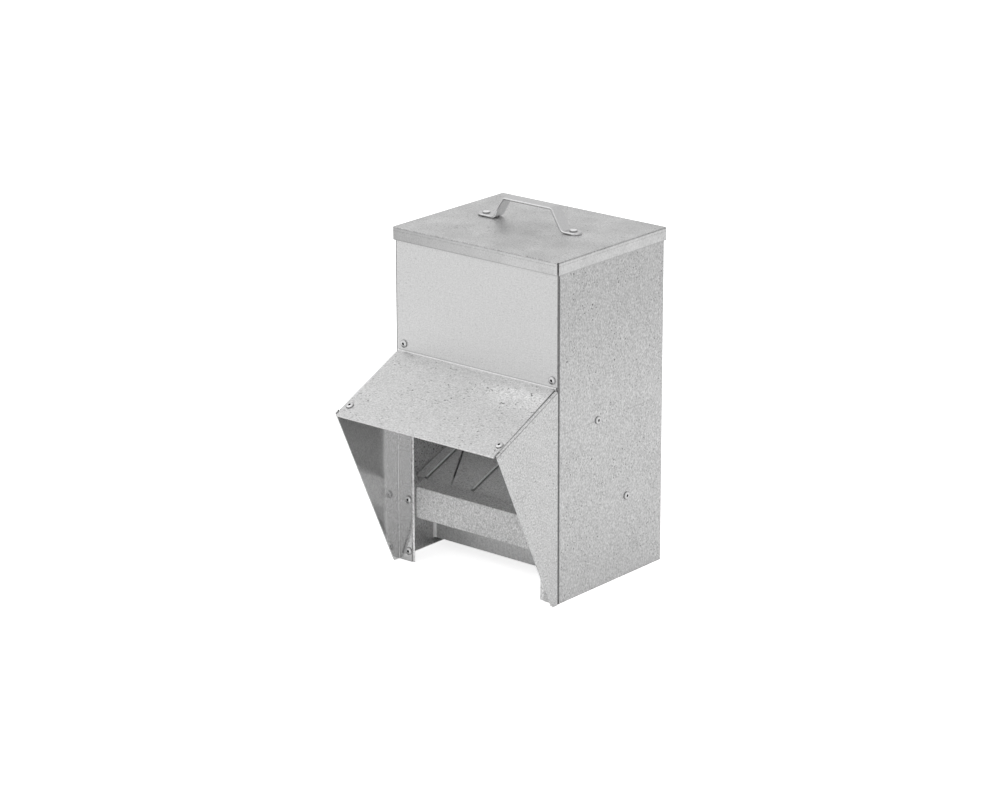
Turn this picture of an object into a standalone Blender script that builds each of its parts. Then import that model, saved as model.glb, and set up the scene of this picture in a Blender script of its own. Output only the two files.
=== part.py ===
"""Hopper feeder for poultry, bent and riveted from galvanised sheet steel.

A tall box with a lift-off lid feeds a trough at its foot. A hood bent out of the front
panel and two triangular wings keep rain off the trough. Metres, +Z up, the feeder's
front faces -Y, and the world origin is under the middle of its bounding box.
"""
import math

import bmesh
import bpy
from mathutils import Matrix, Vector

# Sheet metal
SHEET = 0.0008
GAP = 0.0003
BEND = 0.0018
HEM_ROUNDING = 0.45
BEND_STEPS = 3

# Box of the hopper, wrapped from one sheet with a flange down each side of its open front
WIDTH = 0.254
DEPTH = 0.204
BODY_HEIGHT = 0.4255
FRONT_FLANGE = 0.0269
CORNER_BEND = 0.0022

# The front sheets and dividers sit a little to the +X side of the box, and their rivets a little more
FRONT_SHIFT = 0.0014
RIVET_SHIFT = 0.003

# Front panel and hood, one sheet bent outwards
PANEL_TOP_DROP = 0.002
PANEL_SIDE_MARGIN = 0.0022
HOOD_BEND_HEIGHT = 0.2720
HOOD_REACH = 0.1182
HOOD_DROP = 0.0544
HOOD_HEM = 0.009
HOOD_SKEW = 0.0011
HOOD_LEFT_MARGIN = 0.0017
HOOD_RELIEF = 0.0014

# Wings under the hood
WING_INSET = 0.0002
WING_TIP_SETBACK = 0.0040
WING_FOOT = 0.0118
WING_REAR_FLANGE = 0.0216
WING_TOP_FLANGE = 0.020
WING_TOP_BEND = 0.0024
WING_HEM = 0.005
WING_RELIEF = 0.0028
WING_SLIT = 0.0012
WING_HEM_NOTCH = 0.0012

# Lid
LID_CLEARANCE = 0.0014
LID_FRONT_CLEARANCE = 0.0008
LID_RIM = 0.0163
LID_CORNER_CUT = 0.0021

# Handle, a flat strap on the lid
STRAP_WIDTH = 0.018
STRAP_THICKNESS = 0.003
STRAP_LENGTH = 0.1575
STRAP_FOOT_BEND_X = 0.0537
STRAP_TOP_BEND_X = 0.0381
STRAP_BOW_SHIFT = 0.0029
STRAP_HEIGHT = 0.0295
STRAP_BEND = 0.006
STRAP_BEND_STEPS = 5
STRAP_END_STEPS = 8
STRAP_RIVET_X = 0.0680
HANDLE_OFFSET_X = -0.0062
HANDLE_OFFSET_Y = 0.0075

# Front of the trough, with cheeks at its ends and a lip turned in over the feed
TROUGH_SIDE_GAP = 0.0015
TROUGH_TOP = 0.1008
TROUGH_BOTTOM = 0.0592
TROUGH_DEPTH = 0.031
TROUGH_CORNER = 0.003
TROUGH_RELIEF = 0.0004
TROUGH_NOTCH = 0.0024
TROUGH_LIP = 0.022
TROUGH_LIP_RISE = 0.0035
TROUGH_TURN_UNDER = 0.015

# Chute, the sloping floor that ends in the trough
CHUTE_SLOPE = math.radians(21.6)
CHUTE_SHOULDER_DROP = 0.0003
CHUTE_FRONT_FLANGE = 0.018
CHUTE_FRONT_INSET = 0.0045
CHUTE_SIDE_FLANGE = 0.014
CHUTE_REAR_FLANGE = 0.014
CHUTE_RELIEF = 0.003
CHUTE_FLANGE_TRIM = 0.010

# Wires and dust slots on the chute
RIB_DIAMETER = 0.0024
RIB_INNER_X = 0.034
RIB_OUTER_INSET = 0.018
RIB_START = 0.0015
RIB_LENGTH = 0.090
SLOT_WIDTH = 0.0026
SLOT_FOOT_X = 0.066
SLOT_HEAD_X = 0.100
SLOT_START = -0.004
SLOT_RUN = 0.071

# Baffle inside the hopper, which leaves a throat above the chute
BAFFLE_FOLD_DROP = 0.0056
BAFFLE_SLOPE = math.radians(40)
BAFFLE_THROAT = 0.041
BAFFLE_TOP_FLANGE = 0.024
BAFFLE_SIDE_FLANGE = 0.016
BAFFLE_RELIEF = 0.012
BAFFLE_CORNER = 0.003

# Skirt that closes the foot behind the trough
SKIRT_SETBACK = 0.067
SKIRT_BOTTOM = 0.0091
SKIRT_FLANGE = 0.012
SKIRT_CORNER = 0.0035

# Brace under the chute
BRACE_SETBACK = 0.125
BRACE_BOTTOM = 0.095
BRACE_TAB = 0.016
BRACE_TOP_FLANGE = 0.012
BRACE_STEP = 0.003

# Blind rivets
RIVET_SHANK = 0.0024
RIVET_HEAD = 0.005
RIVET_HEAD_HEIGHT = 0.0018
RIVET_HEAD_RIM = 0.00045
RIVET_DOME_ANGLES = (30, 60, 82)
RIVET_TAIL = 0.0033
RIVET_TAIL_LENGTH = 0.0045
RIVET_TAIL_SHOULDER = 0.0008
RIVET_TAIL_TAPER = 0.0012
RIVET_TAIL_TIP = 0.0019
RIVET_BORE = 0.0013
RIVET_BORE_DEPTH = 0.0030
RIVET_SIDES = 14
RIVET_HOLE_REACH = 0.008

# Places of the rivets
PANEL_RIVET_INSET = 0.011
PANEL_RIVET_RISE = 0.0092
HOOD_RIVET_INSET = 0.010
HOOD_RIVET_FROM_EDGE = 0.0190
LEG_RIVET_INSET = 0.0155
LEG_RIVET_HEIGHTS = {"lower": 0.0134, "upper": 0.0811}
BAFFLE_RIVET_RUN = 0.091

# Places worked out from the sizes above
HALF_WIDTH = WIDTH / 2
INNER_HALF = HALF_WIDTH - SHEET - GAP
HEM_TURN = 2 * SHEET + GAP
HEM_BEND = HEM_TURN * HEM_ROUNDING
PANEL_FACE = -(SHEET + GAP)
PANEL_HALF = HALF_WIDTH - PANEL_SIDE_MARGIN
WING_HALF = HALF_WIDTH - WING_INSET
HOOD_NOSE_HALF = WING_HALF - HEM_TURN - GAP
LID_HALF = HALF_WIDTH + LID_CLEARANCE + SHEET
LID_FRONT = PANEL_FACE - LID_FRONT_CLEARANCE - SHEET
LID_BACK = DEPTH + LID_CLEARANCE + SHEET
LID_TOP = BODY_HEIGHT + GAP + SHEET
STRAP_TOP = LID_TOP + GAP + STRAP_THICKNESS
STRAP_Y = (LID_FRONT + LID_BACK) / 2 + HANDLE_OFFSET_Y
HOOD_ANGLE = math.atan2(HOOD_DROP, HOOD_REACH + PANEL_FACE)
HOOD_NOSE = HOOD_REACH - HEM_BEND * (math.cos(HOOD_ANGLE) + math.sin(HOOD_ANGLE) - 1)
FRONT_Y = (HOOD_NOSE - LID_BACK) / 2
TROUGH_HALF_WIDTH = HALF_WIDTH - FRONT_FLANGE - TROUGH_SIDE_GAP
CHUTE_SHOULDER = TROUGH_TOP - CHUTE_SHOULDER_DROP
CHUTE_BACK = DEPTH - 2 * SHEET - GAP
RIB_OUTER_X = HALF_WIDTH - RIB_OUTER_INSET

PARTS = "poultry_feeder"
CUTTERS = "cutters"
STEEL = (0.60, 0.61, 0.62)
STEEL_ROUGHNESS = 0.38
ALUMINIUM = (0.72, 0.72, 0.73)
ALUMINIUM_ROUGHNESS = 0.3
METALLIC = 0.9


def clear_scene():
    for item in list(bpy.data.objects):
        bpy.data.objects.remove(item, do_unlink=True)


def new_collection(name):
    collection = bpy.data.collections.new(name)
    bpy.context.scene.collection.children.link(collection)
    return collection


def metal(name, colour, roughness):
    material = bpy.data.materials.new(name + "_metal")
    material.use_nodes = True
    shader = material.node_tree.nodes["Principled BSDF"]
    shader.inputs["Base Color"].default_value = (*colour, 1)
    shader.inputs["Roughness"].default_value = roughness
    shader.inputs["Metallic"].default_value = METALLIC
    return material


def add_part(name, mesh, parent, colour=STEEL, roughness=STEEL_ROUGHNESS):
    part = bpy.data.objects.new(name, mesh)
    mesh.materials.append(metal(name, colour, roughness))
    bpy.data.collections[PARTS].objects.link(part)
    part.parent = parent
    return part


def add_datum(name, location):
    datum = bpy.data.objects.new(name, None)
    datum.location = location
    bpy.data.collections[PARTS].objects.link(datum)
    return datum


def add_cutter(name, mesh, parent):
    cutter = bpy.data.objects.new(name, mesh)
    bpy.data.collections[CUTTERS].objects.link(cutter)
    cutter.parent = parent
    cutter.hide_render = True
    cutter.display_type = "WIRE"
    return cutter


def cut(part, cutter, operation="DIFFERENCE"):
    modifier = part.modifiers.new(cutter.name, "BOOLEAN")
    modifier.operation = operation
    modifier.object = cutter
    modifier.solver = "EXACT"


def solidify(part, thickness):
    """Thickens an open sheet on the side away from its normals."""
    modifier = part.modifiers.new("thickness", "SOLIDIFY")
    modifier.thickness = thickness
    modifier.offset = -1
    modifier.use_even_offset = True
    modifier.use_rim = True


class Sheet:
    """An open sheet: a flat outline, with flanges folded from its edges."""

    def __init__(self, outline):
        self.bm = bmesh.new()
        self.corners = [self.bm.verts.new(point) for point in outline]
        self.bm.faces.new(self.corners)
        self.folds = []

    def fold(self, first, vectors, radii, trims=(0, 0)):
        """Folds a chain of flanges from the edge that starts at corner number first."""
        start = self.corners[first]
        end = self.corners[(first + 1) % len(self.corners)]
        along = (end.co - start.co).normalized()
        for vector, radius in zip(vectors, radii):
            edge = self.bm.edges.get((start, end))
            grown = bmesh.ops.extrude_edge_only(self.bm, edges=[edge])["geom"]
            points = [item for item in grown if isinstance(item, bmesh.types.BMVert)]
            points.sort(key=lambda point: (point.co - start.co).length)
            start, end = points
            start.co += Vector(vector) + along * trims[0]
            end.co += Vector(vector) - along * trims[1]
            trims = (0, 0)
            self.folds.append((edge, radius))

    def finish(self, name, parent):
        """Rounds the folds, thickens the sheet and adds it as a part."""
        for edge, radius in self.folds:
            offset = radius * math.tan(edge.calc_face_angle() / 2)
            bmesh.ops.bevel(
                self.bm, geom=[edge], offset=offset, offset_type="OFFSET", segments=BEND_STEPS,
                profile=0.5, affect="EDGES", clamp_overlap=False)
        mesh = bpy.data.meshes.new(name)
        self.bm.to_mesh(mesh)
        self.bm.free()
        part = add_part(name, mesh, parent)
        solidify(part, SHEET)
        return part


def mirrored(points, side):
    """Points given for the +X side, in an order that keeps the face outwards."""
    if side > 0:
        return [Vector(point) for point in points]
    return [Vector((-point[0], point[1], point[2])) for point in reversed(points)]


def edge_index(count, first, side):
    """Number of an edge after mirrored() may have turned the order round."""
    return first if side > 0 else (count - 2 - first) % count


def pointing(direction):
    return Vector(direction).normalized().to_track_quat("Z", "Y")


def add_hole(name, place, direction, parent):
    bm = bmesh.new()
    radius = RIVET_SHANK + GAP
    bmesh.ops.create_cone(
        bm, cap_ends=True, segments=RIVET_SIDES, radius1=radius, radius2=radius, depth=2 * RIVET_HOLE_REACH)
    mesh = bpy.data.meshes.new(name)
    bm.to_mesh(mesh)
    bm.free()
    hole = add_cutter(name, mesh, parent)
    hole.location = place
    hole.rotation_mode = "QUATERNION"
    hole.rotation_quaternion = pointing(direction)
    return hole


def rivet_profile(stack):
    """Half section of a set blind rivet, from the bore in its head to its tail."""
    top = GAP + RIVET_HEAD_HEIGHT
    rim = GAP + RIVET_HEAD_RIM
    bore_foot = top - RIVET_BORE_DEPTH
    dome = [(RIVET_HEAD * math.sin(turn), rim + (top - rim) * math.cos(turn))
            for turn in map(math.radians, RIVET_DOME_ANGLES)]
    tail_top = -stack - GAP
    tail_end = tail_top - RIVET_TAIL_LENGTH
    return [
        (0, bore_foot), (RIVET_BORE, bore_foot), (RIVET_BORE, top), *dome, (RIVET_HEAD, GAP),
        (RIVET_SHANK, GAP), (RIVET_SHANK, tail_top), (RIVET_TAIL, tail_top - RIVET_TAIL_SHOULDER),
        (RIVET_TAIL, tail_end + RIVET_TAIL_TAPER), (RIVET_TAIL_TIP, tail_end), (0, tail_end)]


def add_rivet(name, place, direction, stack, parent):
    """A blind rivet whose head sits on place and whose shank runs back through stack."""
    points = [(radius, 0, height) for radius, height in rivet_profile(stack)]
    mesh = bpy.data.meshes.new(name)
    mesh.from_pydata(points, [(number, number + 1) for number in range(len(points) - 1)], [])
    rivet = add_part(name, mesh, parent, ALUMINIUM, ALUMINIUM_ROUGHNESS)
    rivet.location = place
    rivet.rotation_mode = "QUATERNION"
    rivet.rotation_quaternion = pointing(direction)
    screw = rivet.modifiers.new("turn", "SCREW")
    screw.angle = 2 * math.pi
    screw.steps = RIVET_SIDES
    screw.render_steps = RIVET_SIDES
    screw.use_merge_vertices = True
    screw.merge_threshold = 0.00001
    screw.use_smooth_shade = True


def rivet_through(name, place, direction, stack, sheets, parent):
    """Drills one hole through the sheets and sets a rivet in it."""
    hole = add_hole("hole_for_" + name, place, direction, parent)
    for sheet in sheets:
        cut(sheet, hole)
    add_rivet(name, place, direction, stack, parent)


def side_name(stem, side):
    return stem + ("_right" if side > 0 else "_left")


def hood_outer(y):
    """Height of the hood's upper face."""
    return HOOD_BEND_HEIGHT + (y - PANEL_FACE) * math.tan(HOOD_ANGLE)


def hood_underside(y):
    """Height of a plane one gap below the hood's lower face."""
    return hood_outer(y) - (SHEET + GAP) / math.cos(HOOD_ANGLE)


def chute_face(y):
    """Height of the chute's upper face."""
    return CHUTE_SHOULDER + (y - TROUGH_DEPTH) * math.tan(CHUTE_SLOPE)


def make_body_shell(parent):
    """Back and both side walls from one sheet, with a flange down each front edge."""
    corners = [(HALF_WIDTH, DEPTH, 0), (-HALF_WIDTH, DEPTH, 0),
               (-HALF_WIDTH, DEPTH, BODY_HEIGHT), (HALF_WIDTH, DEPTH, BODY_HEIGHT)]
    radii = [CORNER_BEND, CORNER_BEND]
    sheet = Sheet(corners)
    sheet.fold(1, [(0, -DEPTH, 0), (FRONT_FLANGE, 0, 0)], radii)
    sheet.fold(3, [(0, -DEPTH, 0), (-FRONT_FLANGE, 0, 0)], radii)
    return sheet.finish("body_shell", parent)


def make_front_panel(parent):
    """Front panel with the narrower hood bent out, a little askew, and a hem on the hood."""
    left = HOOD_LEFT_MARGIN - HOOD_NOSE_HALF
    right = HOOD_NOSE_HALF - HOOD_SKEW
    fold = HOOD_BEND_HEIGHT
    relief = fold + HOOD_RELIEF
    top = BODY_HEIGHT - PANEL_TOP_DROP
    outline = [(left, fold), (right, fold), (right, relief), (PANEL_HALF, relief),
               (PANEL_HALF, top), (-PANEL_HALF, top), (-PANEL_HALF, relief), (left, relief)]
    corners = [(across, PANEL_FACE, height) for across, height in outline]
    down = Vector((0, -math.cos(HOOD_ANGLE), -math.sin(HOOD_ANGLE)))
    under = Vector((0, math.sin(HOOD_ANGLE), -math.cos(HOOD_ANGLE)))
    slope = (HOOD_REACH + PANEL_FACE) / math.cos(HOOD_ANGLE)
    sheet = Sheet(corners)
    hem = [down * slope, under * HEM_TURN, -down * HOOD_HEM]
    sheet.fold(0, hem, [BEND, HEM_BEND, HEM_BEND], (HOOD_SKEW, -HOOD_SKEW))
    return sheet.finish("front_panel", parent)


def make_wing(side, parent):
    """Triangular cheek under the hood, with flanges for the body and hood and a hemmed edge."""
    rear = -GAP
    rear_top = hood_underside(rear) - WING_RELIEF
    start = rear - WING_RELIEF
    front = -HOOD_REACH + WING_TIP_SETBACK
    tip = Vector((WING_HALF, front, hood_underside(front)))
    foot = Vector((WING_HALF, -WING_FOOT, 0))
    up_slope = Vector((0, math.cos(HOOD_ANGLE), math.sin(HOOD_ANGLE)))
    edge = (foot - tip).normalized()
    inward = Vector((0, -edge.z, edge.y))
    flange_end = tip + up_slope * HOOD_HEM
    slit_end = flange_end - up_slope * WING_SLIT
    deeper = Vector((0, math.sin(HOOD_ANGLE), -math.cos(HOOD_ANGLE))) * WING_RELIEF
    hem_end = foot - edge * WING_RELIEF
    corners = [
        (WING_HALF, rear, 0), (WING_HALF, rear, rear_top), (WING_HALF, start, rear_top),
        (WING_HALF, start, hood_underside(start)), flange_end, flange_end + deeper, slit_end + deeper,
        slit_end, tip, hem_end, hem_end + inward * WING_HEM_NOTCH, (WING_HALF, foot.y + WING_HEM_NOTCH, 0)]
    count = len(corners)
    sheet = Sheet(mirrored(corners, side))
    sheet.fold(edge_index(count, 0, side), [(-side * WING_REAR_FLANGE, 0, 0)], [BEND])
    sheet.fold(edge_index(count, 3, side), [(-side * WING_TOP_FLANGE, 0, 0)], [WING_TOP_BEND])
    hem = [Vector((-side * HEM_TURN, 0, 0)), inward * WING_HEM]
    sheet.fold(edge_index(count, 8, side), hem, [HEM_BEND, HEM_BEND])
    return sheet.finish(side_name("wing", side), parent)


def make_trough_front(parent):
    """Front of the trough: its ends go back as cheeks and its top turns in as a lip."""
    half = TROUGH_HALF_WIDTH
    lip_half = half - TROUGH_CORNER - TROUGH_RELIEF
    shoulder = TROUGH_TOP - TROUGH_NOTCH
    foot = TROUGH_BOTTOM + TROUGH_NOTCH
    corners = [
        (-half, 0, foot), (-lip_half, 0, foot), (-lip_half, 0, TROUGH_BOTTOM), (lip_half, 0, TROUGH_BOTTOM),
        (lip_half, 0, foot), (half, 0, foot), (half, 0, shoulder), (lip_half, 0, shoulder),
        (lip_half, 0, TROUGH_TOP), (-lip_half, 0, TROUGH_TOP), (-lip_half, 0, shoulder), (-half, 0, shoulder)]
    cheek = TROUGH_DEPTH - GAP
    overhang = lip_half - half
    sheet = Sheet(corners)
    sheet.fold(5, [(0, cheek, 0)], [TROUGH_CORNER])
    sheet.fold(11, [(0, cheek, 0)], [TROUGH_CORNER])
    sheet.fold(8, [(0, TROUGH_LIP, TROUGH_LIP_RISE)], [BEND], (overhang, overhang))
    sheet.fold(2, [(0, TROUGH_TURN_UNDER, 0)], [BEND])
    return sheet.finish("trough_front", parent)


def make_chute(parent, front_parent):
    """Sloping floor of the hopper, narrowed in front to lie between the trough's cheeks."""
    half = INNER_HALF
    neck = TROUGH_HALF_WIDTH - SHEET - GAP
    lip = neck - CHUTE_FRONT_INSET
    front = SHEET + GAP
    neck_start = front + CHUTE_RELIEF
    shoulder = TROUGH_DEPTH
    side_start = shoulder + CHUTE_RELIEF
    back = CHUTE_BACK
    side_end = back - CHUTE_RELIEF
    inner = half - CHUTE_RELIEF
    corners = [
        (-lip, front), (lip, front), (lip, neck_start), (neck, neck_start), (neck, shoulder), (inner, shoulder),
        (inner, side_start), (half, side_start), (half, side_end), (inner, side_end), (inner, back)]
    corners += [(-x, y) for x, y in reversed(corners[2:])]
    outline = [(x, y, chute_face(y)) for x, y in corners]
    down = Vector((0, math.sin(CHUTE_SLOPE), -math.cos(CHUTE_SLOPE)))
    sheet = Sheet(outline)
    sheet.fold(0, [(0, 0, -CHUTE_FRONT_FLANGE)], [BEND])
    sheet.fold(7, [down * CHUTE_SIDE_FLANGE], [BEND], (0, CHUTE_FLANGE_TRIM))
    sheet.fold(13, [down * CHUTE_SIDE_FLANGE], [BEND], (CHUTE_FLANGE_TRIM, 0))
    sheet.fold(10, [(0, 0, CHUTE_REAR_FLANGE)], [HEM_BEND])
    chute = sheet.finish("feed_chute", parent)
    for side in (-1, 1):
        cut(chute, make_slot_cutter(side, front_parent))
    return chute


def on_chute(x, run, height=0.0):
    """A point on the chute, run metres up its slope from the trough."""
    normal = Vector((0, -math.sin(CHUTE_SLOPE), math.cos(CHUTE_SLOPE)))
    foot = Vector((x, TROUGH_DEPTH, CHUTE_SHOULDER))
    return foot + Vector((0, math.cos(CHUTE_SLOPE), math.sin(CHUTE_SLOPE))) * run + normal * height


def make_slot_cutter(side, parent):
    """A bar that cuts the slanting dust slot through the chute."""
    start = on_chute(side * SLOT_FOOT_X, SLOT_START)
    end = on_chute(side * SLOT_HEAD_X, SLOT_START + SLOT_RUN)
    along = (end - start).normalized()
    normal = Vector((0, -math.sin(CHUTE_SLOPE), math.cos(CHUTE_SLOPE)))
    across = normal.cross(along)
    bm = bmesh.new()
    bmesh.ops.create_cube(bm, size=1)
    bmesh.ops.scale(bm, vec=((end - start).length, SLOT_WIDTH, 6 * SHEET), verts=bm.verts)
    mesh = bpy.data.meshes.new(side_name("slot", side))
    bm.to_mesh(mesh)
    bm.free()
    cutter = add_cutter(mesh.name, mesh, parent)
    turned = Matrix((along, across, normal)).transposed().to_4x4()
    cutter.matrix_local = Matrix.Translation((start + end) / 2) @ turned
    return cutter


def make_rib(number, x, parent):
    """A wire laid down the chute, which parts the feed between feeding places."""
    curve = bpy.data.curves.new("chute_rib_" + str(number), "CURVE")
    curve.dimensions = "3D"
    curve.bevel_depth = RIB_DIAMETER / 2
    curve.bevel_resolution = 2
    curve.use_fill_caps = True
    spline = curve.splines.new("POLY")
    height = RIB_DIAMETER / 2 + GAP
    ends = (on_chute(x, RIB_START, height), on_chute(x, RIB_START + RIB_LENGTH, height))
    spline.points.add(1)
    for point, place in zip(spline.points, ends):
        point.co = (*place, 1)
    return add_part(curve.name, curve, parent)


def make_skirt(parent):
    """Upright sheet behind the trough, its ends turned forwards along both side walls."""
    half = INNER_HALF - SHEET
    top = chute_face(SKIRT_SETBACK - SKIRT_FLANGE) - CHUTE_SIDE_FLANGE / math.cos(CHUTE_SLOPE) - GAP
    corners = [(-half, SKIRT_SETBACK, SKIRT_BOTTOM), (half, SKIRT_SETBACK, SKIRT_BOTTOM),
               (half, SKIRT_SETBACK, top), (-half, SKIRT_SETBACK, top)]
    sheet = Sheet(corners)
    sheet.fold(1, [(0, -SKIRT_FLANGE, 0)], [SKIRT_CORNER])
    sheet.fold(3, [(0, -SKIRT_FLANGE, 0)], [SKIRT_CORNER])
    return sheet.finish("foot_skirt", parent)


def on_baffle(run, rise):
    """Place in the side view: run metres down the baffle, rise metres above it."""
    start = (SHEET + GAP, HOOD_BEND_HEIGHT - BAFFLE_FOLD_DROP)
    return (start[0] + run * math.cos(BAFFLE_SLOPE) + rise * math.sin(BAFFLE_SLOPE),
            start[1] - run * math.sin(BAFFLE_SLOPE) + rise * math.cos(BAFFLE_SLOPE))


def baffle_length():
    """Length down the slope that leaves the throat between baffle and chute."""
    y, z = on_baffle(0, -SHEET)
    height = (z - chute_face(y)) * math.cos(CHUTE_SLOPE) - BAFFLE_THROAT
    return height / math.sin(BAFFLE_SLOPE + CHUTE_SLOPE)


def make_baffle(parent):
    """Slanting front wall of the hopper, which stops above the chute."""
    half = INNER_HALF
    inner = half - BAFFLE_CORNER
    first = on_baffle(0, 0)
    second = on_baffle(BAFFLE_RELIEF, 0)
    last = on_baffle(baffle_length(), 0)
    corners = [
        (-half, *last), (half, *last), (half, *second), (inner, *second), (inner, *first),
        (-inner, *first), (-inner, *second), (-half, *second)]
    side_fold = (0, BAFFLE_SIDE_FLANGE * math.sin(BAFFLE_SLOPE), BAFFLE_SIDE_FLANGE * math.cos(BAFFLE_SLOPE))
    sheet = Sheet(corners)
    sheet.fold(1, [side_fold], [BEND])
    sheet.fold(7, [side_fold], [BEND])
    sheet.fold(4, [(0, 0, BAFFLE_TOP_FLANGE)], [BEND])
    return sheet.finish("feed_baffle", parent)


def make_brace(parent):
    """Cross brace that carries the chute and is riveted to both side walls."""
    half = INNER_HALF
    inner = half - SHEET - GAP - BRACE_STEP
    tab_top = BRACE_BOTTOM + BRACE_TAB
    top = chute_face(BRACE_SETBACK) - (SHEET + GAP) / math.cos(CHUTE_SLOPE)
    y = BRACE_SETBACK
    corners = [(-half, y, BRACE_BOTTOM), (half, y, BRACE_BOTTOM), (half, y, tab_top), (inner, y, tab_top),
               (inner, y, top), (-inner, y, top), (-inner, y, tab_top), (-half, y, tab_top)]
    up_slope = Vector((0, math.cos(CHUTE_SLOPE), math.sin(CHUTE_SLOPE)))
    sheet = Sheet(corners)
    sheet.fold(1, [(0, BRACE_TAB, 0)], [BEND])
    sheet.fold(7, [(0, BRACE_TAB, 0)], [BEND])
    sheet.fold(4, [up_slope * BRACE_TOP_FLANGE], [BEND])
    return sheet.finish("chute_brace", parent)


def make_lid(parent):
    """Cap over the box: a top with four rims and an open slit at each corner."""
    left, right, front, back = -LID_HALF, LID_HALF, LID_FRONT, LID_BACK
    c = LID_CORNER_CUT
    corners = [
        (left + c, front), (right - c, front), (right - c, front + c), (right, front + c),
        (right, back - c), (right - c, back - c), (right - c, back), (left + c, back),
        (left + c, back - c), (left, back - c), (left, front + c), (left + c, front + c)]
    sheet = Sheet([(x, y, LID_TOP) for x, y in corners])
    for first in (0, 3, 6, 9):
        sheet.fold(first, [(0, 0, -LID_RIM)], [BEND])
    return sheet.finish("lid", parent)


def fillet(points, radius, segments):
    """A polyline with each inner corner rounded."""
    rounded = [points[0]]
    for before, corner, after in zip(points, points[1:], points[2:]):
        arriving = (corner - before).normalized()
        leaving = (after - corner).normalized()
        turn = arriving.angle(leaving)
        reach = radius * math.tan(turn / 2)
        start = corner - arriving * reach
        centre_way = (leaving - arriving).normalized()
        centre = corner + centre_way * radius / math.cos(turn / 2)
        spoke = start - centre
        axis = arriving.cross(leaving)
        for step in range(segments + 1):
            rounded.append(centre + Matrix.Rotation(turn * step / segments, 3, axis) @ spoke)
    rounded.append(points[-1])
    return rounded


def make_handle(parent):
    """Bent strap with round feet, riveted flat on the lid."""
    top = LID_TOP + STRAP_HEIGHT
    end = STRAP_LENGTH / 2 + STRAP_WIDTH
    profile = [(-end, STRAP_TOP), (-STRAP_FOOT_BEND_X, STRAP_TOP), (-STRAP_TOP_BEND_X, top),
               (STRAP_TOP_BEND_X, top), (STRAP_FOOT_BEND_X, STRAP_TOP), (end, STRAP_TOP)]
    near = STRAP_Y - STRAP_WIDTH
    middle = HANDLE_OFFSET_X + STRAP_BOW_SHIFT
    route = fillet([Vector((x + middle, near, z)) for x, z in profile], STRAP_BEND, STRAP_BEND_STEPS)
    bm = bmesh.new()
    points = [bm.verts.new(place) for place in route]
    edges = [bm.edges.new(pair) for pair in zip(points, points[1:])]
    grown = bmesh.ops.extrude_edge_only(bm, edges=edges)["geom"]
    moved = [item for item in grown if isinstance(item, bmesh.types.BMVert)]
    bmesh.ops.translate(bm, vec=(0, 2 * STRAP_WIDTH, 0), verts=moved)
    bmesh.ops.recalc_face_normals(bm, faces=bm.faces)
    if bm.faces[:][0].normal.z < 0:
        bmesh.ops.reverse_faces(bm, faces=bm.faces)
    mesh = bpy.data.meshes.new("lid_handle")
    bm.to_mesh(mesh)
    bm.free()
    handle = add_part("lid_handle", mesh, parent)
    solidify(handle, STRAP_THICKNESS)
    cut(handle, make_strap_outline(parent), "INTERSECT")
    return handle


def make_strap_outline(parent):
    """A tall block of the strap's plan shape: straight sides and half-round ends."""
    bm = bmesh.new()
    radius = STRAP_WIDTH / 2
    reach = STRAP_LENGTH / 2 - radius
    outline = []
    for centre, start in ((reach, -90), (-reach, 90)):
        for step in range(STRAP_END_STEPS + 1):
            turn = math.radians(start + step * 180 / STRAP_END_STEPS)
            x = HANDLE_OFFSET_X + centre + radius * math.cos(turn)
            outline.append(bm.verts.new((x, STRAP_Y + radius * math.sin(turn), LID_TOP - STRAP_HEIGHT)))
    base = bm.faces.new(outline)
    lifted = bmesh.ops.extrude_face_region(bm, geom=[base])["geom"]
    moved = [item for item in lifted if isinstance(item, bmesh.types.BMVert)]
    bmesh.ops.translate(bm, vec=(0, 0, 3 * STRAP_HEIGHT), verts=moved)
    bmesh.ops.recalc_face_normals(bm, faces=bm.faces)
    mesh = bpy.data.meshes.new("strap_outline")
    bm.to_mesh(mesh)
    bm.free()
    return add_cutter("strap_outline", mesh, parent)


def add_front_rivets(side, body, front, baffle, wing, parent):
    """One side's rivets in the front panel, hood and leg, each through every sheet that it holds."""
    two = 2 * SHEET + GAP
    three = 3 * SHEET + 2 * GAP
    place = (side * (HALF_WIDTH - PANEL_RIVET_INSET), PANEL_FACE, HOOD_BEND_HEIGHT + PANEL_RIVET_RISE)
    rivet_through(side_name("panel_rivet", side), place, (0, -1, 0), three, (front, body, baffle), parent)
    hood_y = HOOD_RIVET_FROM_EDGE - HOOD_REACH
    place = (side * (HALF_WIDTH - HOOD_RIVET_INSET), hood_y, hood_outer(hood_y))
    normal = (0, -math.sin(HOOD_ANGLE), math.cos(HOOD_ANGLE))
    rivet_through(side_name("hood_rivet", side), place, normal, two, (front, wing), parent)
    for level, height in LEG_RIVET_HEIGHTS.items():
        place = (side * (HALF_WIDTH - LEG_RIVET_INSET), PANEL_FACE, height)
        rivet_through(side_name("leg_rivet_" + level, side), place, (0, -1, 0), two, (wing, body), parent)


def add_wall_rivets(side, body, baffle, brace, parent):
    """One side wall's rivets, which hold the baffle and the brace."""
    two = 2 * SHEET + GAP
    place = (side * HALF_WIDTH, *on_baffle(BAFFLE_RIVET_RUN, BAFFLE_SIDE_FLANGE / 2))
    rivet_through(side_name("baffle_rivet", side), place, (side, 0, 0), two, (body, baffle), parent)
    place = (side * HALF_WIDTH, BRACE_SETBACK + BRACE_TAB / 2, BRACE_BOTTOM + BRACE_TAB / 2)
    rivet_through(side_name("brace_rivet", side), place, (side, 0, 0), two, (body, brace), parent)


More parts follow.
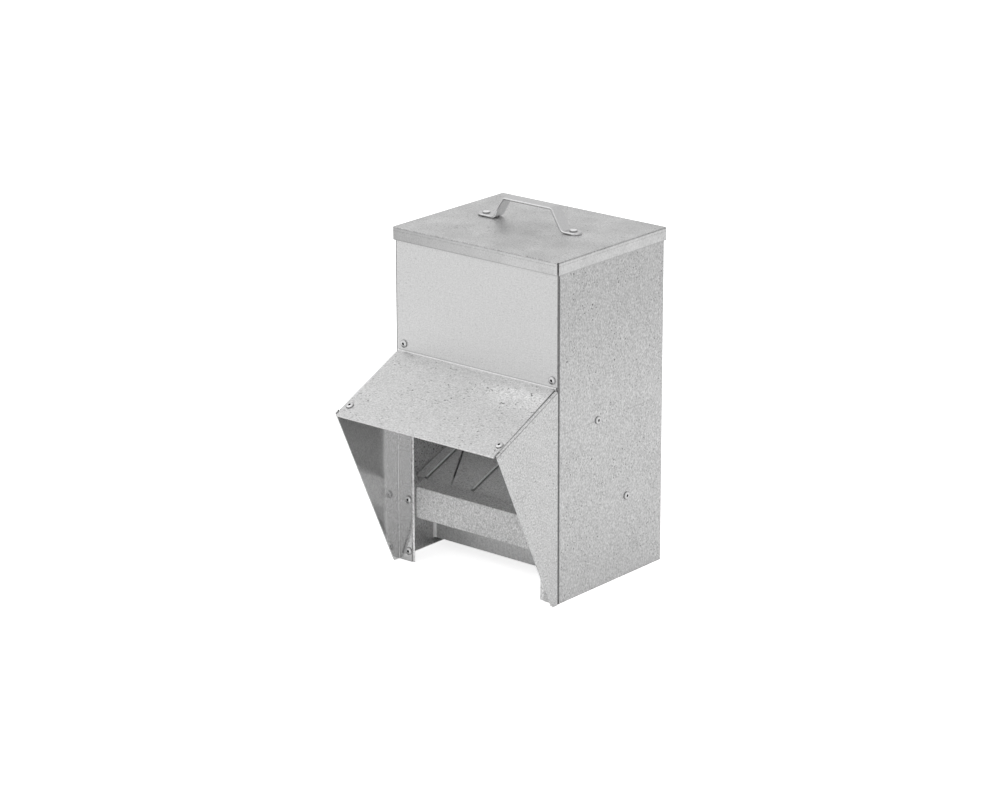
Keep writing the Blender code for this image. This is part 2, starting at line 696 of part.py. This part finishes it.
def make_lid_group(parent):
    """The lid with its handle and the two rivets that hold it, which lift off together."""
    lid = make_lid(parent)
    handle = make_handle(parent)
    stack = STRAP_THICKNESS + SHEET + GAP
    for side in (-1, 1):
        place = (HANDLE_OFFSET_X + side * STRAP_RIVET_X, STRAP_Y, STRAP_TOP)
        rivet_through(side_name("handle_rivet", side), place, (0, 0, 1), stack, (handle, lid), parent)


def main():
    clear_scene()
    new_collection(PARTS)
    new_collection(CUTTERS)
    datum = add_datum("body_datum", (0, FRONT_Y, 0))
    front_datum = add_datum("front_datum", (FRONT_SHIFT, FRONT_Y, 0))
    rivet_datum = add_datum("rivet_datum", (RIVET_SHIFT, FRONT_Y, 0))
    body = make_body_shell(datum)
    front = make_front_panel(front_datum)
    baffle = make_baffle(datum)
    brace = make_brace(datum)
    make_chute(datum, front_datum)
    make_skirt(datum)
    make_trough_front(datum)
    for number, x in enumerate((-RIB_OUTER_X, -RIB_INNER_X, RIB_INNER_X, RIB_OUTER_X), 1):
        make_rib(number, x, front_datum)
    for side in (-1, 1):
        wing = make_wing(side, front_datum)
        add_front_rivets(side, body, front, baffle, wing, rivet_datum)
        add_wall_rivets(side, body, baffle, brace, datum)
    make_lid_group(add_datum("lid_lift", (0, FRONT_Y, 0)))


main()
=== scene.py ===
"""Looks of a poultry feeder: galvanised sheet, blind rivets and a plated handle in soft light."""
import math

import bmesh
import bpy
from mathutils import Matrix, Vector


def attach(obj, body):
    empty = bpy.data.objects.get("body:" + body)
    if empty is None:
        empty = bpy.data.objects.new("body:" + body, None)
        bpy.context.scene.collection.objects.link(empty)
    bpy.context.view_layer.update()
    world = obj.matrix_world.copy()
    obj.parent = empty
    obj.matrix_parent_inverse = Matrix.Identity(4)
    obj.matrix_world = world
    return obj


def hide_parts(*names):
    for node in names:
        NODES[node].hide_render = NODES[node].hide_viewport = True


# Camera, fitted to the corners of the box in the photograph
AZIMUTH = math.radians(39.92)
ELEVATION = math.radians(18.02)
ROLL = math.radians(-0.136)
DISTANCE = 4.3
AIM = (0.030431, -0.035005, 0.236177)
LENS = 129.276
SENSOR = 36.0
CLIP_START = 0.1

# Places on the sheets, in metres
HALF_WIDTH = 0.127
FRONT_PLANE = -0.04414
LID_TOP = 0.4266
RIM_EDGE = LID_TOP - 0.0010
RIM_CREASE = LID_TOP - 0.0048
RIM_FOOT = LID_TOP - 0.0163
HOOD_SLOPE = math.radians(24.92)
HOOD_FOLD = 0.2720
HOOD_RIGHT = 0.1249
HOOD_FLARE = 0.0011 / 0.118
LEG_EDGE = 0.1004
SKIRT_FACE = 0.067 + FRONT_PLANE
SKIRT_BEND = 0.1225
RIB_PLACES = (-0.1076, -0.0326, 0.0354, 0.1104)
CREASE_HEIGHT = 0.2135

# Zinc: scales per metre, and the coarse grain's size and share beside the fine one
CLOUD_SCALE = 24.0
PATCH_SCALE = 34.0
GRAIN_SCALE = 640.0
FLECK_SCALE = 420.0
DRAWN_SCALE = 600.0
COARSE_SIZE = 0.42
COARSE_SHARE = 0.22
BUMP_DEPTH = 0.0001

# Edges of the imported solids
WELD = 0.000005
EDGE_WIDTH = 0.00018
STRAP_EDGE_WIDTH = 0.0010
SHARP_ANGLE = math.radians(50)

# Rivets, in metres; the dome is given by the angles of its rings
RIVET_HEAD = 0.005
RIVET_BRIM = 0.0041
RIVET_DOME = 0.00135
RIVET_SHANK = 0.0024
RIVET_TAIL = 0.0033
RIVET_BORE = 0.0016
DOME_RINGS = (22, 34, 46, 58, 68, 76, 83, 88)
RIVET_STEPS = 36

# Studio; the UNDER ranges run from under the feeder to the open floor, or back from it in front
UNDER_SIDE = (0.118, 0.135)
UNDER_BACK = (0.152, 0.170)
UNDER_FRONT = (FRONT_PLANE - 0.005, FRONT_PLANE + 0.06)
FLOOR_SIZE = 12.0
FLOOR_DROP = 0.0002
FLOOR_GREY = (0.86, 0.86, 0.86, 1)
FLOOR_GLOW = 0.80
FLOOR_MIRRORED = 0.36
AMBIENT = 0.78
WHITE = (1, 1, 1, 1)
LAMPS = {"key": {"place": (-1.4, -1.8, 3.0), "energy": 36, "size": 4.0},
         "fill": {"place": (2.6, -0.6, 1.8), "energy": 8, "size": 1.8}}
LAMP_TARGET = (0, 0, 0.2)

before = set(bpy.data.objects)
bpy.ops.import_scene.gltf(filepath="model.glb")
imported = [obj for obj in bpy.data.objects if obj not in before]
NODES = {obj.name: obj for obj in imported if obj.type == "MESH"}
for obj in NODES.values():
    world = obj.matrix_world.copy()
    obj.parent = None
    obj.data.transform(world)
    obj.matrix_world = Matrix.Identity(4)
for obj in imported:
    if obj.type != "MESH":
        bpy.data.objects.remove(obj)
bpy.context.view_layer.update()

SHEETS = ("body_shell", "front_panel", "wing_left", "wing_right", "trough_front", "feed_chute",
          "feed_baffle", "foot_skirt", "chute_brace", "lid")
RIBS = tuple(name for name in NODES if name.startswith("chute_rib"))
RIVETS = tuple(name for name in NODES if "_rivet" in name)


# Shaders

class Tree:
    """A short way to write a material's nodes."""

    def __init__(self, name):
        self.material = bpy.data.materials.new(name)
        self.material.use_nodes = True
        self.nodes = self.material.node_tree.nodes
        self.links = self.material.node_tree.links
        self.shader = self.nodes["Principled BSDF"]
        self.place = self.add("ShaderNodeTexCoord").outputs["Object"]

    def add(self, kind, **settings):
        node = self.nodes.new(kind)
        for key, value in settings.items():
            setattr(node, key, value)
        return node

    def feed(self, socket, value):
        if isinstance(value, bpy.types.NodeSocket):
            self.links.new(value, socket)
        else:
            socket.default_value = value

    def math(self, operation, first, second=0.5, third=0.5):
        node = self.add("ShaderNodeMath", operation=operation)
        for socket, value in zip(node.inputs, (first, second, third)):
            self.feed(socket, value)
        return node.outputs[0]

    def stretch(self, scale):
        node = self.add("ShaderNodeMapping")
        self.feed(node.inputs["Vector"], self.place)
        node.inputs["Scale"].default_value = scale
        return node.outputs[0]

    def noise(self, scale, detail, rough, place=None):
        node = self.add("ShaderNodeTexNoise")
        self.feed(node.inputs["Vector"], place or self.place)
        node.inputs["Scale"].default_value = scale
        node.inputs["Detail"].default_value = detail
        node.inputs["Roughness"].default_value = rough
        return node.outputs["Fac"]

    def between(self, value, low, high, out_low=0.0, out_high=1.0, smooth=True):
        node = self.add("ShaderNodeMapRange", interpolation_type="SMOOTHSTEP" if smooth else "LINEAR")
        for socket, number in zip(node.inputs, (value, low, high, out_low, out_high)):
            self.feed(socket, number)
        return node.outputs[0]

    def axis(self, name, place=None):
        node = self.add("ShaderNodeSeparateXYZ")
        self.feed(node.inputs[0], place or self.place)
        return node.outputs[name]

    def facing(self):
        return self.add("ShaderNodeNewGeometry").outputs["Normal"]

    def grey(self, value, tint=(1.0, 1.0, 1.0)):
        node = self.add("ShaderNodeCombineColor")
        for socket, part in zip(node.inputs, tint):
            self.feed(socket, self.math("MULTIPLY", value, part))
        return node.outputs[0]

    def bump(self, height, strength):
        node = self.add("ShaderNodeBump")
        node.inputs["Strength"].default_value = strength
        node.inputs["Distance"].default_value = BUMP_DEPTH
        self.feed(node.inputs["Height"], height)
        return node.outputs[0]


def centred(t, scale, detail, rough, place=None):
    """Noise about zero, mostly within plus or minus one."""
    return t.math("MULTIPLY_ADD", t.noise(scale, detail, rough, place), 4.0, -2.0)


def near(t, value, middle, inside, outside):
    """One within the inside distance of the middle, none past the outside one."""
    off = t.math("ABSOLUTE", t.math("SUBTRACT", value, middle))
    return t.between(off, inside, outside, 1.0, 0.0)


def band(t, value, middle, half, depth):
    """One, less depth within half of the middle."""
    off = t.math("ABSOLUTE", t.math("SUBTRACT", value, middle))
    return t.between(off, half * 0.7, half * 1.3, 1.0 - depth, 1.0)


def galvanised(name, base, grain, fleck, cloud=0.02, roughness=0.42, metallic=0.8, bump=0.25,
               stretch=(1.0, 1.0, 0.7), more=None, extra=None):
    """Zinc-coated sheet: mottling, grain and dark flecks; more deepens these, extra tints the sheet, mostly
    with painted light and shade.
    """
    t = Tree(name)
    clouds = centred(t, CLOUD_SCALE, 3.0, 0.55)
    fine = centred(t, GRAIN_SCALE, 1.5, 0.6, t.stretch(stretch))
    coarse = centred(t, GRAIN_SCALE * COARSE_SIZE, 2.0, 0.6, t.stretch(stretch))
    both = t.math("MULTIPLY_ADD", coarse, COARSE_SHARE, fine)
    marks = t.noise(FLECK_SCALE, 1.5, 0.5, t.stretch((0.6, 1.0, 1.0)))
    patches = t.between(t.noise(PATCH_SCALE, 2.0, 0.5), 0.34, 0.60)
    flecks = t.math("MULTIPLY", t.between(marks, 0.60, 0.74), patches)
    spots = t.math("MULTIPLY", flecks, -fleck)
    if more is not None:
        deeper = more(t)
        grain = t.math("MULTIPLY", deeper, grain)
        cloud = t.math("MULTIPLY", deeper, cloud)
        spots = t.math("MULTIPLY", spots, t.math("MULTIPLY", deeper, deeper))
    value = t.math("MULTIPLY_ADD", clouds, cloud, 1.0)
    value = t.math("MULTIPLY_ADD", both, grain, value)
    value = t.math("ADD", spots, value)
    if extra is not None:
        value = t.math("MULTIPLY", value, extra(t))
    value = t.math("MULTIPLY", value, base)
    t.feed(t.shader.inputs["Base Color"], t.grey(value))
    rough = t.math("MULTIPLY_ADD", clouds, 0.02, roughness)
    rough = t.math("MULTIPLY_ADD", fine, 0.03, rough)
    t.feed(t.shader.inputs["Roughness"], rough)
    t.shader.inputs["Metallic"].default_value = metallic
    height = t.math("MULTIPLY_ADD", flecks, -0.6, fine)
    t.feed(t.shader.inputs["Normal"], t.bump(height, bump))
    return t.material


def plated(name, base, roughness=0.3, under=1.0, metallic=0.9, edge=0.0):
    """Plated or bright metal with fine drawn marks; under paints what faces down lighter or darker, edge
    paints a highlight on what faces front, and painted shade runs in a line along the lower front edge.
    """
    t = Tree(name)
    fine = centred(t, DRAWN_SCALE, 2.0, 0.6)
    value = t.math("MULTIPLY_ADD", fine, 0.10, 1.0)
    # Painted light and shade: the undersides by under, a highlight on front faces by edge, and a dark line
    # under the front faces.
    facing = t.facing()
    down = t.between(t.axis("Z", facing), -0.25, -0.01, 1.0, 0.0)
    front = t.between(t.axis("Y", facing), -0.7, -0.2, 1.0, 0.0)
    belly = t.math("MULTIPLY_ADD", down, under - 1.0, 1.0)
    line = t.math("MULTIPLY", down, t.between(t.axis("X", facing), 0.1, 0.3, 1.0, 0.0))
    side = t.math("MULTIPLY_ADD", front, t.math("MULTIPLY_ADD", line, -0.65 - edge, edge), 1.0)
    value = t.math("MULTIPLY", value, t.math("MULTIPLY", belly, side))
    value = t.math("MULTIPLY", value, base)
    t.feed(t.shader.inputs["Base Color"], t.grey(value, (1.0, 1.0, 1.005)))
    t.feed(t.shader.inputs["Roughness"], t.math("MULTIPLY_ADD", fine, 0.04, roughness))
    t.shader.inputs["Metallic"].default_value = metallic
    t.feed(t.shader.inputs["Normal"], t.bump(fine, 0.1))
    return t.material


# Lid

def down_rim(t, on_rim, on_top):
    """One number on the lid's rim and another on its top."""
    return t.between(t.axis("Z"), LID_TOP - 0.0016, LID_TOP - 0.0008, on_rim, on_top)


def rim_shade_lines(t):
    """Painted shade round the lid's rim: broken thin dark lines in its groove and along its top edge, and
    painted shadow along its foot.
    """
    height = t.axis("Z")
    broken = t.between(t.noise(260.0, 2.0, 0.6), 0.40, 0.58)
    crease = near(t, height, RIM_CREASE, 0.0, 0.0008)
    crease = t.math("MULTIPLY", crease, t.math("MULTIPLY_ADD", broken, 0.16, 0.08))
    edge = near(t, height, RIM_EDGE, 0.0003, 0.0011)
    edge = t.math("MULTIPLY", edge, t.math("MULTIPLY_ADD", broken, 0.14, 0.24))
    marks = t.math("SUBTRACT", 1.0, t.math("ADD", crease, edge))
    # Painted shadow along the rim's foot.
    foot = t.between(height, RIM_FOOT + 0.0006, RIM_FOOT + 0.0014, 0.76, 1.0)
    return t.math("MULTIPLY", marks, foot)


def rim_shade(t):
    """Painted light and shade on the lid's rim: darker in front towards the left, lighter towards the right
    and on the sides, with the painted lines along it.
    """
    front = t.between(t.axis("Y"), FRONT_PLANE, FRONT_PLANE + 0.004, 1.0, 0.0)
    along = t.between(t.axis("X"), -HALF_WIDTH, HALF_WIDTH, 0.23, -0.12, smooth=False)
    depth = t.math("MULTIPLY_ADD", t.math("ADD", along, 0.16), front, -0.16)
    shade = t.math("SUBTRACT", 1.0, t.math("MULTIPLY", depth, down_rim(t, 1.0, 0.0)))
    return t.math("MULTIPLY", shade, rim_shade_lines(t))


def rim_grain(t):
    """Finer grain on the lid's rim than on its top."""
    return down_rim(t, 0.5, 1.0)


# Walls, wings, trough and skirt

def wall_light_and_shade(t):
    """Painted light and shade on the walls: a broken dark line along a level crease, painted shade in the
    front corners, painted highlights on the legs' edges, the faces inside the outer sides painted lighter,
    and painted shade towards the top and the foot.
    """
    height = t.axis("Z")
    broken = t.between(t.noise(60.0, 2.0, 0.6), 0.35, 0.6)
    crease = near(t, height, CREASE_HEIGHT, 0.0002, 0.0010)
    crease = t.math("MULTIPLY", crease, t.math("MULTIPLY_ADD", broken, 0.16, 0.03))
    marks = t.math("SUBTRACT", 1.0, crease)
    across = t.math("ABSOLUTE", t.axis("X"))
    # Painted shade in the front corners, and a painted highlight along the legs' edges.
    bend = t.between(t.axis("Y"), FRONT_PLANE + 0.0026, FRONT_PLANE + 0.0042, 1.0, 0.0)
    outer = t.between(across, HALF_WIDTH - 0.0030, HALF_WIDTH - 0.0024)
    corner = t.math("SUBTRACT", 1.0, t.math("MULTIPLY", t.math("MULTIPLY", outer, bend), 0.72))
    leg = t.between(across, LEG_EDGE - 0.0002, LEG_EDGE + 0.0002, 1.0, 0.0)
    edge = t.math("MULTIPLY_ADD", t.math("MULTIPLY", leg, bend), 0.35, 1.0)
    # Painted light on the faces inside the outer sides; painted shade towards the top and the foot.
    inside = t.between(across, HALF_WIDTH - 0.0006, HALF_WIDTH - 0.0002, 1.48, 1.0)
    upper = t.between(height, 0.22, 0.39, 1.0, 0.875)
    foot = t.between(height, 0.02, 0.12, 0.97, 1.0)
    for part in (inside, upper, foot, corner, edge):
        marks = t.math("MULTIPLY", marks, part)
    return marks


def leg_shade(t):
    """Painted shade on the wing's rear flange on the leg, darker than its inner face."""
    return t.between(t.axis("Y"), FRONT_PLANE - 0.0030, FRONT_PLANE - 0.0024, 1.0, 0.75)


def wing_line(t):
    """A thin line of painted shade along the wing, just below its upper bend."""
    reach = t.math("SUBTRACT", t.axis("Y"), FRONT_PLANE)
    level = t.math("MULTIPLY_ADD", reach, math.tan(HOOD_SLOPE), HOOD_FOLD)
    return band(t, t.math("SUBTRACT", level, t.axis("Z")), 0.0032, 0.0007, 0.42)


def lip_painted_light(t):
    """The trough's lip, painted lighter than its front."""
    return t.between(t.axis("Y"), FRONT_PLANE + 0.0012, FRONT_PLANE + 0.0020, 1.0, 1.3)


def skirt_bend_highlight(t):
    """A painted highlight on the bend at each end of the skirt."""
    across = t.between(t.math("ABSOLUTE", t.axis("X")), SKIRT_BEND - 0.0010, SKIRT_BEND)
    ahead = t.between(t.axis("Y"), SKIRT_FACE - 0.0036, SKIRT_FACE - 0.0026)
    return t.math("MULTIPLY_ADD", t.math("MULTIPLY", across, ahead), 0.9, 1.0)


def rib_shade(t):
    """Painted shade along both sides of each wire on the chute."""
    across = t.axis("X")
    shade = 1.0
    for place in RIB_PLACES:
        shade = t.math("MULTIPLY", shade, band(t, across, place, 0.0028, 0.5))
    return shade


# Front panel and hood, one sheet

def on_hood(t):
    """One on the hood, none on the panel above it."""
    return t.between(t.axis("Y"), FRONT_PLANE - 0.004, FRONT_PLANE - 0.002, 1.0, 0.0)


def sheen_and_grain_corner(t):
    """One in the hood's upper right corner, where a sheen is painted and the grain is deeper, fading out to
    the left and downwards.
    """
    across = t.between(t.axis("X"), 0.0, 0.09)
    low = t.between(t.axis("Y"), FRONT_PLANE - 0.060, FRONT_PLANE - 0.020)
    high = t.between(t.axis("Y"), FRONT_PLANE - 0.018, FRONT_PLANE - 0.011, 1.0, 0.25)
    return t.math("MULTIPLY", across, t.math("MULTIPLY", low, high))


def hood_grain(t):
    """Deeper grain on the hood, most of all near its upper right corner."""
    deeper = t.math("MULTIPLY_ADD", sheen_and_grain_corner(t), 0.9, 0.7)
    return t.math("MULTIPLY_ADD", on_hood(t), deeper, 1.0)


def hood_gap(t, reach):
    """Painted shade in the gap along the hood's right edge, fading out towards the nose."""
    side = t.math("SUBTRACT", t.axis("X"), t.math("MULTIPLY_ADD", reach, HOOD_FLARE, HOOD_RIGHT))
    gap = t.math("MULTIPLY", t.between(side, -0.0008, -0.0004), on_hood(t))
    return t.math("MULTIPLY", gap, t.between(reach, 0.0, 0.06, 0.88, 0.10, smooth=False))


def hood_tone(t, reach):
    """The hood painted a little darker, with a painted sheen in its upper right corner and painted shade in
    the strip under its fold and in the gap beside it.
    """
    sheen = t.math("MULTIPLY_ADD", sheen_and_grain_corner(t), 0.20, -0.045)
    tone = t.math("MULTIPLY_ADD", on_hood(t), sheen, 1.0)
    tone = t.math("SUBTRACT", tone, hood_gap(t, reach))
    # Painted shade in the strip just under the fold.
    fold_shade = t.between(reach, 0.012, 0.021, 0.955, 1.0)
    fold_shade = t.math("MAXIMUM", fold_shade, t.math("SUBTRACT", 1.0, on_hood(t)))
    return t.math("MULTIPLY", tone, fold_shade)


def front_shade_and_marks(t):
    """Painted shade in a thin line over the fold, the hood's painted tone, the panel painted paler towards
    the bottom, and faint level rolling marks.
    """
    line = band(t, t.axis("Z"), HOOD_FOLD + 0.0012, 0.0007, 0.24)
    tone = hood_tone(t, t.math("SUBTRACT", FRONT_PLANE, t.axis("Y")))
    lower = t.between(t.axis("Z"), 0.285, 0.375, 1.027, 1.0)
    rolled = centred(t, 60.0, 3.0, 0.7, t.stretch((0.08, 0.08, 8.0)))
    rolled = t.math("MULTIPLY_ADD", rolled, 0.012, 1.0)
    return t.math("MULTIPLY", t.math("MULTIPLY", line, tone), t.math("MULTIPLY", lower, rolled))


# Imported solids

def dress(obj, material):
    obj.data.materials.clear()
    obj.data.materials.append(material)


def soften(obj, width=EDGE_WIDTH, clamp=True):
    """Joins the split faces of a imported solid, rounds its edges a little and smooths its bends."""
    if "custom_normal" in obj.data.attributes:
        obj.data.attributes.remove(obj.data.attributes["custom_normal"])
    obj.data.shade_smooth()
    weld = obj.modifiers.new("weld", "WELD")
    weld.merge_threshold = WELD
    if width:
        bevel = obj.modifiers.new("edge", "BEVEL")
        bevel.width = width
        bevel.segments = 2
        bevel.limit_method = "ANGLE"
        bevel.angle_limit = SHARP_ANGLE
        bevel.use_clamp_overlap = clamp
        bevel.loop_slide = clamp
    flat = obj.modifiers.new("flat", "WEIGHTED_NORMAL")
    flat.mode = "FACE_AREA_WITH_ANGLE"
    flat.weight = 100
    flat.keep_sharp = True


def dress_sheets():
    """Zinc for each sheet, its grey painted lighter or darker for the light that it stands in."""
    looks = {
        "body_shell": galvanised("shell_zinc", 0.536, grain=0.33, fleck=0.85, cloud=0.03,
                                 stretch=(1.0, 1.0, 0.6), extra=wall_light_and_shade),
        "front_panel": galvanised("front_zinc", 0.568, grain=0.14, fleck=0.2, cloud=0.015,
                                  stretch=(0.7, 1.0, 1.0), more=hood_grain, extra=front_shade_and_marks),
        "wing_left": galvanised("wing_left_zinc", 0.70, grain=0.22, fleck=0.1, roughness=0.17,
                                bump=0.1, extra=leg_shade),
        "wing_right": galvanised("wing_right_zinc", 0.565, grain=0.36, fleck=0.4, cloud=0.03,
                                 extra=wing_line),
        "trough_front": galvanised("trough_zinc", 0.50, grain=0.42, fleck=0.25, cloud=0.03,
                                   metallic=0.6, extra=lip_painted_light),
        "foot_skirt": galvanised("skirt_zinc", 0.685, grain=0.2, fleck=0.2, metallic=0.4,
                                 extra=skirt_bend_highlight),
        "feed_chute": galvanised("chute_zinc", 0.68, grain=0.3, fleck=0.3, metallic=0.35,
                                 extra=rib_shade),
        "lid": galvanised("lid_zinc", 0.50, grain=0.32, fleck=0.5, cloud=0.16, roughness=0.44,
                          more=rim_grain, extra=rim_shade)}
    inner = galvanised("inner_zinc", 0.84, grain=0.22, fleck=0.25, metallic=0.35)
    for name in SHEETS:
        dress(NODES[name], looks.get(name, inner))
        soften(NODES[name])


def dress_handle():
    # The strap's underside is painted lighter, its front faces get a painted highlight, with a line of
    # painted shade below them.
    dress(NODES["lid_handle"], plated("strap_metal", 0.50, 0.38, under=1.6, edge=0.18))
    soften(NODES["lid_handle"], width=STRAP_EDGE_WIDTH, clamp=False)


def dress_ribs():
    # Painted shade on the wires' undersides, with a line of painted shade under their front.
    wire = plated("wire_metal", 0.95, under=0.6, metallic=0.3)
    for name in RIBS:
        dress(NODES[name], wire)
        soften(NODES[name], width=0)


# Rivets

def rivet_axis(name):
    """Outward direction of a rivet, from what it holds."""
    if name.startswith("handle"):
        return Vector((0, 0, 1))
    if name.startswith(("baffle", "brace")):
        return Vector((1 if name.endswith("right") else -1, 0, 0))
    if name.startswith("hood"):
        return Vector((0, -math.sin(HOOD_SLOPE), math.cos(HOOD_SLOPE)))
    return Vector((0, -1, 0))


def rivet_profile(top, foot, hollow):
    """Radius and height of each ring, from the middle of the head round to the end of the tail."""
    if hollow:
        middle = [(0, top - 0.0024), (0.0007, top - 0.0025), (RIVET_BORE - 0.0001, top - 0.0029),
                  (RIVET_BORE, top - 0.0027), (RIVET_BORE, top - 0.0003), (RIVET_BORE + 0.0003, top)]
    else:
        middle = [(0, top - 0.0001), (RIVET_BORE, top)]
    dome = [(RIVET_HEAD * math.sin(math.radians(a)), top - RIVET_DOME * (1 - math.cos(math.radians(a))))
            for a in DOME_RINGS]
    brim = [(RIVET_HEAD, top - 0.0016), (RIVET_HEAD - 0.0001, top - 0.0018)]
    shank = [(RIVET_SHANK, top - 0.0018), (RIVET_SHANK, foot + 0.0045)]
    tail = [(RIVET_TAIL - 0.0003, foot + 0.0041), (RIVET_TAIL, foot + 0.0034), (RIVET_TAIL, foot + 0.0012),
            (RIVET_TAIL - 0.0008, foot + 0.0003), (RIVET_TAIL - 0.0015, foot), (0, foot)]
    return [*middle, *dome, *brim, *shank, *tail]


def rivet_look(name, materials):
    """A rounder rivet in the CAD rivet's place: metal, then its bore, painted near black for darker steel
    and the shade in the hole, then the brim of its head, painted darker as shade round the head.
    """
    hollow = not name.startswith("handle")
    axis = rivet_axis(name)
    points = {tuple(round(c, 6) for c in vertex.co) for vertex in NODES[name].data.vertices}
    middle = sum((Vector(point) for point in points), Vector()) / len(points)
    along = [Vector(point).dot(axis) - middle.dot(axis) for point in points]
    bm = bmesh.new()
    ring = [bm.verts.new((radius, 0, height)) for radius, height in
            rivet_profile(max(along), min(along), hollow)]
    edges = [bm.edges.new(pair) for pair in zip(ring, ring[1:])]
    bmesh.ops.spin(bm, geom=ring + edges, cent=(0, 0, 0), axis=(0, 0, 1), angle=2 * math.pi,
                   steps=RIVET_STEPS, use_duplicate=False)
    bmesh.ops.remove_doubles(bm, verts=bm.verts, dist=0.00001)
    bmesh.ops.recalc_face_normals(bm, faces=bm.faces)
    for face in bm.faces:
        radii = [math.hypot(vert.co.x, vert.co.y) for vert in face.verts]
        if hollow and max(radii) < RIVET_BORE + 0.00005:
            face.material_index = 1
        elif min(radii) > RIVET_BRIM:
            face.material_index = 2
    turn = axis.to_track_quat("Z", "Y").to_matrix().to_4x4()
    bm.transform(Matrix.Translation(middle) @ turn)
    mesh = bpy.data.meshes.new(name + "_look")
    bm.to_mesh(mesh)
    bm.free()
    mesh.shade_smooth()
    mesh.set_sharp_from_angle(angle=SHARP_ANGLE)
    piece = bpy.data.objects.new(name + "_look", mesh)
    bpy.context.scene.collection.objects.link(piece)
    for material in materials:
        mesh.materials.append(material)
    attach(piece, "lid" if name.startswith("handle") else "feeder")
    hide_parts(name)


def add_rivets():
    # The handle's rivets get a paler cap as a painted highlight; bores and brims are painted dark as shade.
    metal = plated("rivet_metal", 0.62, 0.34)
    bore = plated("bore_metal", 0.03, 0.7)
    brim = plated("brim_metal", 0.36, 0.45)
    cap = plated("cap_metal", 0.80, 0.30)
    for name in RIVETS:
        dress(NODES[name], metal)
        rivet_look(name, (cap if name.startswith("handle") else metal, bore, brim))


# Studio

def open_floor(t):
    """One where the floor is open to the studio, and none under the feeder."""
    across = t.between(t.math("ABSOLUTE", t.axis("X")), *UNDER_SIDE)
    front = t.between(t.axis("Y"), *UNDER_FRONT, 1.0, 0.0)
    back = t.between(t.axis("Y"), *UNDER_BACK)
    return t.math("MAXIMUM", across, t.math("MAXIMUM", front, back))


def add_floor():
    bpy.ops.mesh.primitive_plane_add(size=FLOOR_SIZE, location=(0, 0, -FLOOR_DROP))
    floor = bpy.context.object
    floor.name = "floor"
    t = Tree("floor")
    t.shader.inputs["Base Color"].default_value = FLOOR_GREY
    t.shader.inputs["Roughness"].default_value = 0.9
    t.shader.inputs["Specular IOR Level"].default_value = 0.0
    path = t.add("ShaderNodeLightPath")
    mirrored = t.math("MULTIPLY", path.outputs["Is Glossy Ray"], open_floor(t))
    mirrored = t.math("MULTIPLY", mirrored, FLOOR_MIRRORED)
    seen = t.math("MULTIPLY_ADD", path.outputs["Is Camera Ray"], FLOOR_GLOW, mirrored)
    t.shader.inputs["Emission Color"].default_value = WHITE
    t.feed(t.shader.inputs["Emission Strength"], seen)
    floor.data.materials.append(t.material)


def add_world():
    """Soft even light, and plain white where it is seen, mirrored or looked at through something."""
    world = bpy.data.worlds.new("studio")
    world.use_nodes = True
    bpy.context.scene.world = world
    nodes, links = world.node_tree.nodes, world.node_tree.links
    plain = nodes["Background"]
    plain.inputs["Color"].default_value = WHITE
    plain.inputs["Strength"].default_value = AMBIENT
    white = nodes.new("ShaderNodeBackground")
    white.inputs["Color"].default_value = WHITE
    white.inputs["Strength"].default_value = 1.0
    path = nodes.new("ShaderNodeLightPath")
    seen = path.outputs["Is Camera Ray"]
    for ray in ("Is Glossy Ray", "Is Transmission Ray"):
        either = nodes.new("ShaderNodeMath")
        either.operation = "MAXIMUM"
        links.new(seen, either.inputs[0])
        links.new(path.outputs[ray], either.inputs[1])
        seen = either.outputs[0]
    mix = nodes.new("ShaderNodeMixShader")
    links.new(seen, mix.inputs[0])
    links.new(plain.outputs[0], mix.inputs[1])
    links.new(white.outputs[0], mix.inputs[2])
    links.new(mix.outputs[0], nodes["World Output"].inputs["Surface"])


def add_lamp(name, place, energy, size):
    data = bpy.data.lights.new(name, "AREA")
    data.energy = energy
    data.size = size
    lamp = bpy.data.objects.new(name, data)
    lamp.location = place
    lamp.rotation_mode = "QUATERNION"
    lamp.rotation_quaternion = (Vector(LAMP_TARGET) - Vector(place)).to_track_quat("-Z", "Y")
    bpy.context.scene.collection.objects.link(lamp)


def add_camera():
    data = bpy.data.cameras.new("camera")
    data.lens = LENS
    data.sensor_width = SENSOR
    data.clip_start = CLIP_START
    camera = bpy.data.objects.new("camera", data)
    view = Vector((math.sin(AZIMUTH) * math.cos(ELEVATION), -math.cos(AZIMUTH) * math.cos(ELEVATION),
                   math.sin(ELEVATION)))
    camera.location = Vector(AIM) + view * DISTANCE
    camera.rotation_mode = "QUATERNION"
    roll = Matrix.Rotation(ROLL, 3, "Z").to_quaternion()
    camera.rotation_quaternion = (-view).to_track_quat("-Z", "Y") @ roll
    bpy.context.scene.collection.objects.link(camera)
    bpy.context.scene.camera = camera


def main():
    dress_sheets()
    dress_handle()
    dress_ribs()
    add_rivets()
    add_floor()
    add_world()
    for name, lamp in LAMPS.items():
        add_lamp(name, **lamp)
    add_camera()
    bpy.context.scene.view_settings.view_transform = "Standard"


main()
